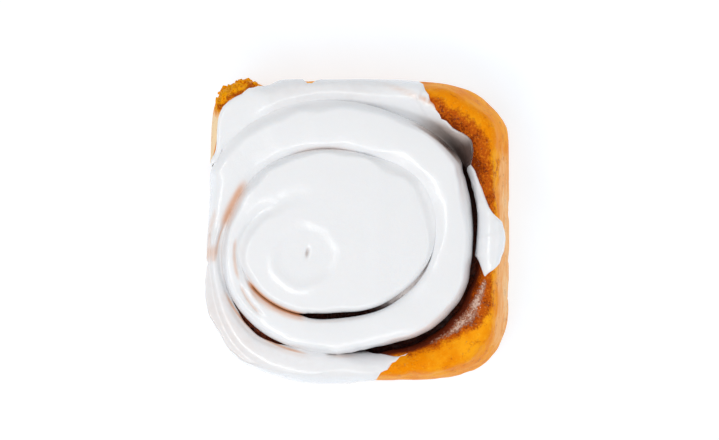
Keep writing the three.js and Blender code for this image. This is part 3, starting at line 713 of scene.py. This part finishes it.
class ROLL_OT_dough(bpy.types.Operator):
    """The rolled strip of dough: crust, pale sides, soaked slope and torn corner"""

    bl_idname = "cinnamon_roll.dough"
    bl_label = "Dough"

    def execute(self, context):
        size = sizes()
        spans = [(DOUGH_START, 140, 5), (140, 500, 2.5), (500, 860, 2), (860, DOUGH_END, 0.75)]
        angles = np.concatenate([np.arange(*span) for span in spans] + [[DOUGH_END]])
        around = column(angles)
        lap, coat = Lap(angles, size.icing / MM), Coat(angles, size.icing / MM)
        radius, height = dough_sections(lap)
        # Under the icing the dough stays below the level at which the icing bridges the seams
        hidden = (around < COVERED_TO) | (around > BARE_END)
        height = np.where(hidden, np.minimum(height, coat.bridged(radius) - 1.0), height)
        points = place(around, radius, height)
        x, y, z = np.moveaxis(points, -1, 0)
        out_r, out_z = section_normals(radius, height)
        across, free = radius - column(lap.middle), column(lap.free)
        past_icing = radius - lap.surface(column(coat.edge_out))[0]
        torn = torn_share(x, y) * free * smooth((z - 24) / 8) * smooth((past_icing + 1.2) / 1.2)
        right = hump(from_right(around), 28.0, 6)
        side = free * smooth((across / column(np.maximum(lap.run[1], 0.5)) - 0.7) / 0.4)
        fall = column(lap.crest) - z
        pale = side * np.maximum(smooth((fall - 27) / 6) * 0.8, right * smooth((fall - 1) / 10))
        strip_end = smooth((around - 1200) / 6) * (across > 0)
        pale = np.maximum(pale, 1.55 * strip_end * smooth((34 - fall) / 28))
        # Relief: bumps, fibres down the pulled side, torn crumb, and an oval pleat beside the right shoulder
        streaks = waves(points * [1, 1, 0.12], 3.2, 11) + 0.6 * waves(points * [1, 1, 0.2], 1.7, 12)
        relief = crust_relief(points) - 0.07 * abs(streaks) * right * pale
        relief += size.crumb / MM * torn * (0.6 * waves(points, 3.0, 5) + 0.6 * waves(points, 1.5, 6) + 0.3)
        relief = np.where(free, relief, 0.3 * relief) * smooth(z / 4.0)
        pleat = np.hypot((y - 24.4) / 2.6, (across - column(lap.run[1]) + 1.2) / 0.9) - 1
        pleated = free * (x > 40)
        relief -= 0.55 * hump(pleat, 0.35) * pleated
        relief = blend(relief, np.minimum(relief, 0.1), side * (1 - torn))
        inset = 0.15 * free * side
        points = place(around, radius + out_r * relief - inset, np.clip(height + out_z * relief, 0, None))
        soak_and_painted_shade, deep, film = soaked_marks(lap, radius, z, torn)
        # Painted shade: the crust is darkened along the pleat's crease as if soaked
        soak_and_painted_shade = np.maximum(soak_and_painted_shade, 0.4 * hump(pleat, 0.3) * pleated)
        marks = {"torn": torn, "pale": pale, "soak_and_painted_shade": soak_and_painted_shade, "deep": deep, "film": film}
        piece = new_tube("rolled_dough", points, dough_material(), **marks)
        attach(piece, "root")
        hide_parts("dough")
        return {"FINISHED"}


class ROLL_OT_crumbs(bpy.types.Operator):
    """Loose crumbs on the torn corner"""

    bl_idname = "cinnamon_roll.crumbs"
    bl_label = "Crumbs"

    def execute(self, context):
        count, rows, columns = 16, 6, 9
        random = np.random.default_rng(8)
        angles = random.uniform(1186.0, 1199.0, count)
        lap = Lap(angles, sizes().icing / MM)
        across = column(lap.arc[1] * random.uniform(0.7, 1.15, count))
        centres = place(column(angles), *lap.raised(across, 0.5))
        turn = np.linspace(0, 2 * np.pi, columns, endpoint=False)
        tilt = np.linspace(0, np.pi, rows)[:, None]
        ball = np.broadcast_arrays(np.sin(tilt) * np.cos(turn), np.sin(tilt) * np.sin(turn), np.cos(tilt))
        radius = random.uniform(0.45, 1.1, (count, 1, 1)) * [1.2, 0.9, 0.8]
        points = centres + np.stack(ball, -1).reshape(-1, 3) * radius
        points = centres + (points - centres) * (1 + 0.25 * waves(points, 1.2, 7))[..., None]
        points[..., :2] = np.clip(points[..., :2], CAD_LOW[:2], CAD_HIGH[:2])
        faces = grid_faces(rows, columns, across_closed=True) + np.arange(count)[:, None, None] * rows * columns
        marks = {"torn": np.ones(count * rows * columns)}
        piece = new_mesh("crumbs", points, faces.reshape(-1, 4), bpy.data.materials["baked_dough"], marks)
        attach(piece, "root")
        return {"FINISHED"}


# Filling


def filling_top(angle, thickness):
    """Height of the lower of the two shoulders beside the filling."""
    inside, outside = Lap(angle, thickness), Lap(angle + 360.0, thickness)
    return np.minimum(inside.crest - inside.drop[1], outside.crest - outside.drop[0])


def filling_material():
    finish, c = Finish("cinnamon_filling"), colours()
    fine = finish.noise(0.8 * MM, 4.0, 0.6)
    milky = (finish.mark("milky") + (finish.noise(4 * MM) - 0.5) * 0.3).step(0.1, 1.0)
    base = finish.mix(fine.step(0.45, 0.7), c.filling, (0.05, 0.008, 0.003))
    # Painted light: where the lit mark is set the filling is lighter and redder
    base = finish.mix(finish.mark("lit") * fine.step(0.3, 0.6), base, (0.18, 0.035, 0.012))
    base = finish.mix(milky, base, (0.70, 0.64, 0.62))
    return finish.finished(
        Base_Color=base, Roughness=0.3 - milky * 0.1, Normal=finish.bump(fine, 0.15 * MM), Specular_IOR_Level=0.06
    )


class ROLL_OT_filling(bpy.types.Operator):
    """The sheet of cinnamon filling between the laps"""

    bl_idname = "cinnamon_roll.filling"
    bl_label = "Filling"

    def execute(self, context):
        size = sizes()
        angles = np.concatenate([np.arange(FILLING_START, 140, 6), np.arange(140, FILLING_END + 0.1, 1.2)])
        around = column(angles)
        top = column(filling_top(angles, size.icing / MM) - 1.0 + eased(FILLING_RISE, angles))
        inside, outside = eased(GROOVES, angles)
        middle = column(lap_edge(angles) + (outside - inside) / 2)
        half = column(1.25 + (inside + outside) / 2 + 0.7 * smooth((inside + outside) / 0.5))
        rise, over = np.linspace(0, 1, 6)[:-1], np.linspace(-1, 1, 9)
        wall_half = blend(0.6, half, rise**2)
        radius = np.concatenate([middle - wall_half, middle + over * half, (middle + wall_half)[:, ::-1]], axis=1)
        wall_z = blend(0.8, top, rise)
        height = np.concatenate([wall_z, top + 0 * over, wall_z[:, ::-1]], axis=1)
        points = place(around, radius, height)
        lumps = waves(points, 2.4, 21) + 0.6 * waves(points, 1.2, 22)
        points[..., 2] += size.filling_grain / MM * lumps * smooth((height - top + 2) / 2)
        milky = np.where(around < 370, smooth((around - 310) / 38), 0.2 * hump(around - 693, 9))
        outwards = smooth(np.linspace(-0.5, 1.5, radius.shape[1]))
        # Painted light on the filling in two stretches of groove, in the second towards its outer side
        lit = np.maximum(window(around, 560, 662, 20, 20), 0.8 * window(around, 692, 738, 12, 14) * outwards)
        piece = new_tube("cinnamon_sheet", points, filling_material(), milky=milky, lit=lit)
        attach(piece, "root")
        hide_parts("filling")
        return {"FINISHED"}


# Icing


def icing_seam(angle):
    """The seam as the icing follows it: over the hidden laps it winds in to the dimple in one turn."""
    share = HIDDEN_SHRINK * np.clip((angle - ICING_START) / (SEAM_FIRST - ICING_START), 0, 1)
    hidden = seam_radius(np.maximum(angle + 360.0, SEAM_FIRST)) * share
    return np.where(angle < SEAM_FIRST, hidden, lap_edge(np.maximum(angle, SEAM_FIRST)))


class Coat:
    """The icing over each lap. Its top is the level of the lap less a valley over each seam. Where it leaves the seam
    open, it stays back and hangs down there. On the outer lap it follows the dough and ends in a rounded lip."""

    # Columns of half of the top, how many of them hang in an open groove, and how far down
    COLUMNS, HANGING, HANG = 26, 4, 5.0
    # Columns of half of the top that the underside has too, and the same of the whole top
    UNDER_HALF = np.array([*range(0, COLUMNS - 1, 3), COLUMNS - 1])
    UNDER = np.concatenate([COLUMNS - 1 - UNDER_HALF[::-1], COLUMNS - 1 + UNDER_HALF[1:]])

    def __init__(self, angles, thickness):
        self.angles = angles
        self.lap, thick = self.flat(angles, thickness)
        free = self.lap.free
        self.inner = np.where(angles < SEAM_FIRST, 0.0, icing_seam(angles - 360.0))
        self.outer = np.where(free, self.lap.outer, icing_seam(angles))
        tip = smooth((ICING_TIP - angles) / 5.0)
        resumed = window(angles, ICING_RESUMES - 2, ICING_END + 1, 6.0, 4.0)
        self.whole = np.where(angles > COVERED_TO, np.where(angles > ICING_TIP, resumed, tip), 1.0)
        self.thick = thick * np.sqrt(np.clip(self.whole, 0.02, 1))
        self.laid_in = smooth((eased(INNER_EDGE, angles) + 4.0) / 2.2)
        self.laid_out = np.where(free, smooth((angles - 857) / 14), 0.0)
        self.rim_in = self.inner + eased(GROOVES, angles - 360.0)[1]
        self.rim_out = self.outer - np.where(free, 0.0, eased(GROOVES, angles)[0])
        self.set_valleys(thickness)
        self.set_edges()

    @staticmethod
    def flat(angles, thickness):
        """The laps at some angles and the icing's thickness on their crests."""
        lap = Lap(angles, thickness)
        swell = 1 + 0.1 * waves(place(angles, lap.middle, 0.0), 16.0, 34)
        return lap, thickness * eased(ICING_THICKNESS, angles) * swell

    @staticmethod
    def level(lap, thick, radius):
        """Top of the icing away from edges and valleys: the middle's height, and further out the lap's crest, with
        a slow fall to each side of it that grows with the distance to the power 2.4."""
        run, *_ = lap.halves(radius < column(lap.middle))
        share = np.clip(np.abs(radius - column(lap.middle)) / run, 0, 1.2)
        domed = column(lap.crest + thick) - 0.9 * share**2.4
        return blend(core_height(*plan(column(lap.angle), radius)), domed, column(lap.ring))

    def set_valleys(self, thickness):
        """How far each station falls to the seam inside it and to the seam outside it: to the lower of the levels on
        the two sides of the seam, less the valley's depth."""
        falls = []
        for seam, across in ((self.inner, -360.0), (self.outer, 360.0)):
            here = self.level(self.lap, self.thick, column(seam))[:, 0]
            beyond = self.level(*self.flat(self.angles + across, thickness), column(seam))[:, 0]
            beyond = np.where(self.lap.free & (across > 0), here, beyond)
            depth, *reaches, sharp = eased(VALLEYS, self.angles + min(across, 0.0))
            swell = 1 + 0.12 * waves(place(self.angles, seam, 0.0), 13.0, 37)
            falls.append((here - np.minimum(here, beyond) + depth, reaches[across < 0] * swell, sharp))
            if across < 0:
                self.bottom_in = np.minimum(here, beyond) - depth
        self.valley_in, self.valley_out = falls

    @staticmethod
    def dip(distance, fall, reach, sharp):
        """Depth of a valley at a distance from its seam: a quarter ellipse where it is sharp, and an eased slope
        where it isn't."""
        share = np.clip(distance / column(reach), 0, 1)
        round_off = 1 - np.sqrt(1 - (1 - share) ** 2 * 0.999)
        return column(fall) * blend(1 - smooth(share), round_off, column(sharp))

    def bridged(self, radius):
        """Height of the bridging icing at distances from the dimple."""
        height = self.level(self.lap, self.thick, radius)
        height = height - self.dip(radius - column(self.rim_in), *self.valley_in) * column(1 - self.laid_in)
        height = height - self.dip(column(self.rim_out) - radius, *self.valley_out) * column(1 - self.laid_out)
        dough = self.lap.height_at(radius) + 0.4 * column(self.thick) + 0.15
        bottom = column(self.bottom_in)
        laid = (dough + bottom + np.hypot(dough - bottom, 1.5)) / 2
        return blend(height, laid, column(bareness(self.angles) * (self.angles > 1090)))

    def set_edges(self):
        """Measures across the lap of the coat's two edges and of the line between its halves."""
        lap, angles = self.lap, self.angles
        inner, outer = place(angles, self.inner, 0.0), place(angles, self.outer, 0.0)
        droop, sag = 0.6 + 0.8 * waves(inner, 15.0, 31), 1.0 + 0.8 * waves(outer, 15.0, 32)
        from_seam = eased(INNER_EDGE, angles)
        on_lap = lap.measure_on_top(np.maximum(self.inner + from_seam, lap.top_in))
        edge_in = blend(-(lap.arc[0] + np.clip(droop, -1.5, 2.5)), on_lap, bareness(angles) * (from_seam > -3.9))
        down = eased(OUTER_EDGE, angles)
        down = down + smooth((down - 2) / 4) * 0.9 * waves(outer, 9.0, 33)
        on_crust = lap.measure_on_top(np.maximum(lap.top_out + np.minimum(down, 0), self.inner))
        edge_free = np.where(down > 0, lap.arc[1] + down, on_crust)
        edge_out = np.where(lap.free, edge_free, lap.arc[1] + np.clip(sag, -1.5, 2.5))
        edge_out = np.maximum(edge_out, edge_in + 0.02)
        start = np.clip(0.0, blend(edge_in, edge_out, 0.3), blend(edge_in, edge_out, 0.7))
        centre = (edge_in + edge_out) / 2
        self.edge_in, self.edge_out, self.start = (
            blend(centre, value, self.whole) for value in (edge_in, edge_out, start)
        )

    def half(self, inwards):
        """Distances and heights of half of the coat's top and of its underside, from its middle line out."""
        lap, thick = self.lap, column(self.thick)
        edge, laid, rim, seam = (
            (self.edge_in, self.laid_in, self.rim_in, self.inner) if inwards
            else (self.edge_out, self.laid_out, self.rim_out, self.outer)
        )
        # Laid on the dough, with a lip at the edge
        share = np.sin(np.linspace(0, np.pi / 2, self.COLUMNS)) ** 0.8
        across = column(self.start) + column(edge - self.start) * share
        on_side = smooth((across / column(lap.arc[1]) - 0.55) / 0.6) * column(lap.free)
        here = blend(thick, column(eased(SKIRT, self.angles) * self.whole + 0.02), on_side)
        lip = np.clip(np.abs(column(edge) - across) / (0.9 * here), 0, 1)
        coat = here * np.sqrt(1 - (1 - lip) ** 2)
        laid_r, laid_z = lap.raised(across, coat)
        root_r, root_z = lap.raised(across, np.minimum(0.1, coat - 0.02))
        # Bridging the seam, or hanging into its groove
        halfway = blend((self.inner + self.outer) / 2, laid_r[:, 0], smooth((self.angles - 455) / 30))
        middle = blend(halfway, laid_r[:, 0], np.maximum(self.laid_in, self.laid_out))
        even = np.sin(np.linspace(0, np.pi / 2, self.COLUMNS - self.HANGING))
        hung = np.concatenate([0 * even, np.arange(1, self.HANGING + 1) / self.HANGING])
        down = hung * column(smooth(np.abs(seam - rim) / 0.3))
        span_r = column(middle) + column(rim - middle) * np.concatenate([even, np.ones(self.HANGING)])
        span_z = self.bridged(span_r) - self.HANG * down
        back = 0.6 * np.minimum(down * 3, 1) * (1 if inwards else -1)
        laid = column(laid)
        top = blend(span_r, laid_r, laid), blend(span_z, laid_z, laid)
        under = blend(span_r + back, root_r, laid), blend(span_z - 0.8 * thick * (1 - down), root_z, laid)
        return top, [values[:, self.UNDER_HALF] for values in under]

    def grids(self):
        """Distances and heights of the top and of the underside, from the inner edge to the outer edge."""
        return [
            [np.concatenate([inner[:, ::-1], outer[:, 1:]], axis=1) for inner, outer in zip(*halves)]
            for halves in zip(self.half(True), self.half(False))
        ]


def folds(angle, radius):
    """Height and brown of the folds at an angle and a distance: a bell curve across each one's line."""
    height = brown = 0.0
    for low, high, low_at, high_at, width, rise, strength in FOLDS:
        share = (angle - low) / (high - low)
        shape = window(share, 0, 1, 0.25, 0.25) * hump(radius - blend(low_at, high_at, share), width)
        height, brown = height + rise * shape, np.maximum(brown, strength * shape)
    return height, brown


def icing_tints(angles, radius, coat):
    """Where brown shows through the icing, with painted shade in one crease, and where the icing is grey: a sheet
    over the groove at the back right, thin icing with painted shade deepening it towards the groove, and painted
    shade in the slit and on the outer lap.
    """
    around, inner, outer = column(angles), column(coat.inner), column(coat.outer)
    from_seam, to_seam = radius - inner, radius - outer
    thin = np.zeros_like(radius)
    for low, high, offset, width, strength in SHOWS_THROUGH:
        for seam, across in ((around - 360.0, from_seam), (around, to_seam)):
            thin = np.maximum(thin, strength * window(seam, low, high, 14, 14) * hump(across - offset, width))
    peach = 0.35 * hump(around - 1139, 8) * hump(from_seam - 8.8, 1.6)
    peach = peach + 0.45 * hump(around - 1130, 4) * hump(from_seam - 9.3, 1.2)
    notch = 0.45 * hump(around - 900, 6) * smooth(from_seam - 1.0)
    blush = 0.2 * hump(around - 940, 42) * smooth((from_seam - 2) / 3)
    for stain in (peach, notch, blush):
        thin = np.maximum(thin, stain)
    # The sheet over the groove on its outer lap and on the ring, thin icing whose grey is deepened by painted shade
    # towards the groove, and grey glaze in the groove's end; painted shade in the slit and on the outer lap
    edge = 0.45 * smooth((from_seam - 3.5) / 2.5) * smooth((around - 1112) / 8)
    film = smooth((1141 - around) / 38) * (1 - edge) * (around > 1080)
    across_slit = radius * np.sin(np.radians(around))
    along_slit = radius * np.cos(np.radians(around))
    for grey in (
        eased(GLAZE, around - 360.0) * hump(from_seam, 1.0),
        window(around, 744, 782, 16, 32) * smooth((to_seam + 2.4) / 1.2) * column(1 - coat.laid_out),
        eased(GLAZE, around) * hump(to_seam, 1.0) * column(1 - coat.laid_out),
        # Painted shade in the dimple's slit
        0.42 * hump(along_slit - 0.15 * across_slit, 1.0) * hump(across_slit, 2.5) * (around < 130),
        # Painted shade on the outer lap, in two stretches
        0.21 * smooth((around - 870) / 20) * (around < 1100),
        0.24 * window(around, 1130, 1200, 20, 20),
    ):
        film = np.maximum(film, grey)
    return thin, film


def icing_material(name):
    finish, c = Finish(name), colours()
    cloud = finish.noise(3 * MM, 2.0)
    thin = finish.mark("thin") + (cloud - 0.5) * 0.12
    film = (finish.mark("film") + (cloud - 0.5) * 0.08).step(0.05, 1.0)
    # Brown where the cinnamon shows through, and in one crease painted shade
    brown = finish.mix(thin.step(0.66, 1.0), c.icing_thin, (0.22, 0.11, 0.06))
    base = finish.mix(thin.step(0.04, 0.85), c.icing, brown)
    # Grey, down to near black, where this mark is high: thin icing over the groove darkened with painted shade, and
    # painted shade in the slit, on the outer lap and on the icing run
    grey = finish.mix(film.step(0.4, 1.0), (0.52, 0.45, 0.42), (0.075, 0.042, 0.034))
    base = finish.mix(film.step(0.0, 0.45), base, grey)
    return finish.finished(
        Base_Color=base, Roughness=0.25, Subsurface_Weight=0.2, Subsurface_Radius=(1.0, 0.85, 0.75),
        Subsurface_Scale=1.0 * MM, Specular_IOR_Level=0.5, Coat_Weight=0.3, Coat_Roughness=0.08,
        Normal=finish.bump(finish.noise(1.9 * MM, 5.0, 0.7), 0.13 * MM),
    )


class ROLL_OT_icing(bpy.types.Operator):
    """The poured icing over the laps, open over the deep grooves and running down two sides"""

    bl_idname = "cinnamon_roll.icing"
    bl_label = "Icing"

    def execute(self, context):
        size = sizes()
        angles = np.arange(ICING_START, ICING_END + 0.01, ICING_STEP)
        around = column(angles)
        coat = Coat(angles, size.icing / MM)
        (radius, height), beneath = coat.grids()
        top, under = place(around, radius, height), place(around, *beneath)
        ripple = waves(top, 17.0, 35) + 0.35 * waves(top, 6.0, 36)
        rise, brown = folds(around, radius)
        top[..., 2] += size.icing_waves / MM * ripple * column(coat.whole) + rise
        top[..., 2] = np.minimum(top[..., 2], ROLL_TOP - 0.02)
        top[..., :2] = np.clip(top[..., :2], CAD_LOW[:2], CAD_HIGH[:2])
        under[..., 2] = np.minimum(under[..., 2], ROLL_TOP - 0.5)
        # Where the icing bridges a seam, the stations on both sides of it share their points there
        rows, turn = len(angles), round(360 / ICING_STEP)
        shut_in = (coat.laid_in <= 0) & (coat.rim_in == coat.inner)
        shut_out = (coat.laid_out <= 0) & (coat.rim_out == coat.outer) & (angles < TAIL_MEETS_SIDE)
        index = np.flatnonzero(shut_out[:-turn] & shut_in[turn:])
        joined_out, joined_in = np.zeros(rows, bool), np.zeros(rows, bool)
        joined_out[index], joined_in[index + turn], joined_in[:turn] = True, True, True
        for grid in (top, under):
            first_lap = grid[: turn + 1]
            centre = np.array([*DIMPLE, first_lap[turn // 2, 0, 2]])
            first_lap[np.linalg.norm(first_lap[..., :2] - DIMPLE, axis=-1) < 0.02] = centre
            grid[:POLE_ROWS] = centre
            grid[index + turn, 0] = grid[index, -1]
        wide, narrow = top.shape[1], under.shape[1]
        offset = rows * wide
        live = (angles[:-1] < ICING_TIP) | (angles[:-1] >= ICING_RESUMES)
        faces = []
        for columns, first, sign in ((wide, 0, -1), (narrow, offset, 1)):
            sheet = grid_faces(rows, columns).reshape(rows - 1, -1, 4)[live].reshape(-1, 4)
            faces.append(sheet[:, ::sign] + first)
        # Walls close the open edges, and strips of faces the two ends past the tip
        for joined, last, sign in ((joined_in, 0, 1), (joined_out, 1, -1)):
            wall = np.flatnonzero(live & ~(joined[:-1] & joined[1:]))
            up, low = last * (wide - 1), offset + last * (narrow - 1)
            ends = [wall * wide + up, (wall + 1) * wide + up, (wall + 1) * narrow + low, wall * narrow + low]
            faces.append(np.stack(ends, -1)[:, ::sign])
        below = np.searchsorted(coat.UNDER, np.arange(wide), side="right") - 1
        for end, sign in ((np.searchsorted(angles, ICING_RESUMES), -1), (rows - 1, 1)):
            up, low = end * wide + np.arange(wide), offset + end * narrow + below
            faces.append(np.stack([up[:-1], up[1:], low[1:], low[:-1]], -1)[:, ::sign])
        thin, film = icing_tints(angles, radius, coat)
        none = np.zeros(under[..., 0].size)
        marks = {"thin": np.append(np.maximum(thin, brown), none), "film": np.append(film, none)}
        body = np.concatenate([top.reshape(-1, 3), under.reshape(-1, 3)])
        piece = new_mesh("poured_icing", body, np.concatenate(faces), icing_material("poured_icing"), marks)
        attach(piece, "root")
        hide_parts("icing")
        return {"FINISHED"}


class ROLL_OT_drip(bpy.types.Operator):
    """The run of icing that lies across the crust at the right"""

    bl_idname = "cinnamon_roll.drip"
    bl_label = "Icing run"

    def execute(self, context):
        rows, columns = 151, 56
        along = np.linspace(0, len(RUN) - 1, rows)
        angles, inner, outer, thick = (through(values, along) for values in RUN.T)
        around, lap = column(angles), Lap(angles, sizes().icing / MM)
        turn = np.linspace(0, 2 * np.pi, columns + 1)[:-1]
        edges = [column(lap.measure_at(distance)) for distance in (inner, outer)]
        across = blend(*edges, (1 - np.cos(turn)) / 2)
        relief = np.clip(crust_relief(place(around, *lap.surface(across))), 0, None)
        round_top = column(thick) * np.abs(np.sin(turn)) ** 0.7 + relief + 0.1
        points = place(around, *lap.raised(across, np.where(turn < np.pi, round_top, -0.7 * np.abs(np.sin(turn)))))
        # Painted shade: the run is greyed along its neck, and more along its left side towards the groove
        left, neck = smooth(0.5 + np.cos(turn)), smooth((around - 1086) / 12)
        film = 0.08 * neck + (0.14 * neck + 0.06) * left
        piece = new_tube("icing_run", points, icing_material("icing_run"), film=film, thin=0.0)
        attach(piece, "root")
        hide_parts("icing_drip")
        return {"FINISHED"}


# Stage


class ROLL_OT_stage(bpy.types.Operator):
    """Pale floor, soft studio light and the camera that looks straight down"""

    bl_idname = "cinnamon_roll.stage"
    bl_label = "Stage"

    def execute(self, context):
        scene = context.scene
        scene.view_settings.view_transform = "Standard"
        world = bpy.data.worlds.new("studio")
        world.use_nodes = True
        background = world.node_tree.nodes["Background"].inputs
        background["Color"].default_value, background["Strength"].default_value = (1, 1, 1, 1), 0.55
        scene.world = world
        material = Finish("floor").finished(
            Base_Color=(0.46, 0.53, 0.6, 1), Roughness=0.9, Specular_IOR_Level=0.0,
            Emission_Color=(0.975, 0.985, 1, 1), Emission_Strength=0.6,
        )
        mesh = bpy.data.meshes.new("floor")
        half = 3.0
        mesh.from_pydata([(-half, -half, 0), (half, -half, 0), (half, half, 0), (-half, half, 0)], [], [(0, 1, 2, 3)])
        mesh.materials.append(material)
        floor = bpy.data.objects.new("floor", mesh)
        scene.collection.objects.link(floor)
        for name, (where, wide, high, power) in LAMPS.items():
            light = bpy.data.lights.new(name, "AREA")
            light.shape, light.size, light.size_y, light.energy = "RECTANGLE", wide, high, power
            lamp = bpy.data.objects.new(name, light)
            lamp.location = where
            x, y, z = np.array([0, 0, 0.03]) - where
            lamp.rotation_euler = (math.atan2(math.hypot(x, y), -z), 0, math.atan2(y, x) - math.pi / 2)
            lamp.visible_camera = False
            scene.collection.objects.link(lamp)
        camera = bpy.data.cameras.new("camera")
        camera.lens, camera.sensor_width, camera.clip_end = 300.0, 36.0, 20.0
        view_width, seen_level = 0.266, 0.042
        eye = bpy.data.objects.new("camera", camera)
        eye.location = (0.56 * MM, 4.07 * MM, seen_level + view_width * camera.lens / camera.sensor_width)
        scene.collection.objects.link(eye)
        scene.camera = eye
        return {"FINISHED"}


class ROLL_PT_panel(bpy.types.Panel):
    """Sizes, colours and pieces of the roll"""

    bl_label = "Cinnamon roll"
    bl_idname = "ROLL_PT_panel"
    bl_space_type = "VIEW_3D"
    bl_region_type = "UI"
    bl_category = "Cinnamon roll"

    def draw(self, context):
        for group in (sizes(), colours()):
            box = self.layout.box()
            for key in group.__annotations__:
                box.prop(group, key)
        for operator in OPERATORS:
            self.layout.operator(operator.bl_idname)


OPERATORS = (ROLL_OT_dough, ROLL_OT_crumbs, ROLL_OT_filling, ROLL_OT_icing, ROLL_OT_drip, ROLL_OT_stage)
CLASSES = (RollSizes, RollColours, *OPERATORS, ROLL_PT_panel)


def register():
    for entry in CLASSES:
        bpy.utils.register_class(entry)
    bpy.types.Scene.cinnamon_roll_sizes = bpy.props.PointerProperty(type=RollSizes)
    bpy.types.Scene.cinnamon_roll_colours = bpy.props.PointerProperty(type=RollColours)


def unregister():
    del bpy.types.Scene.cinnamon_roll_colours
    del bpy.types.Scene.cinnamon_roll_sizes
    for entry in reversed(CLASSES):
        bpy.utils.unregister_class(entry)


def main():
    register()
    bpy.ops.cinnamon_roll.dough()
    bpy.ops.cinnamon_roll.crumbs()
    bpy.ops.cinnamon_roll.filling()
    bpy.ops.cinnamon_roll.icing()
    bpy.ops.cinnamon_roll.drip()
    bpy.ops.cinnamon_roll.stage()


if __name__ == "__main__":
    main()
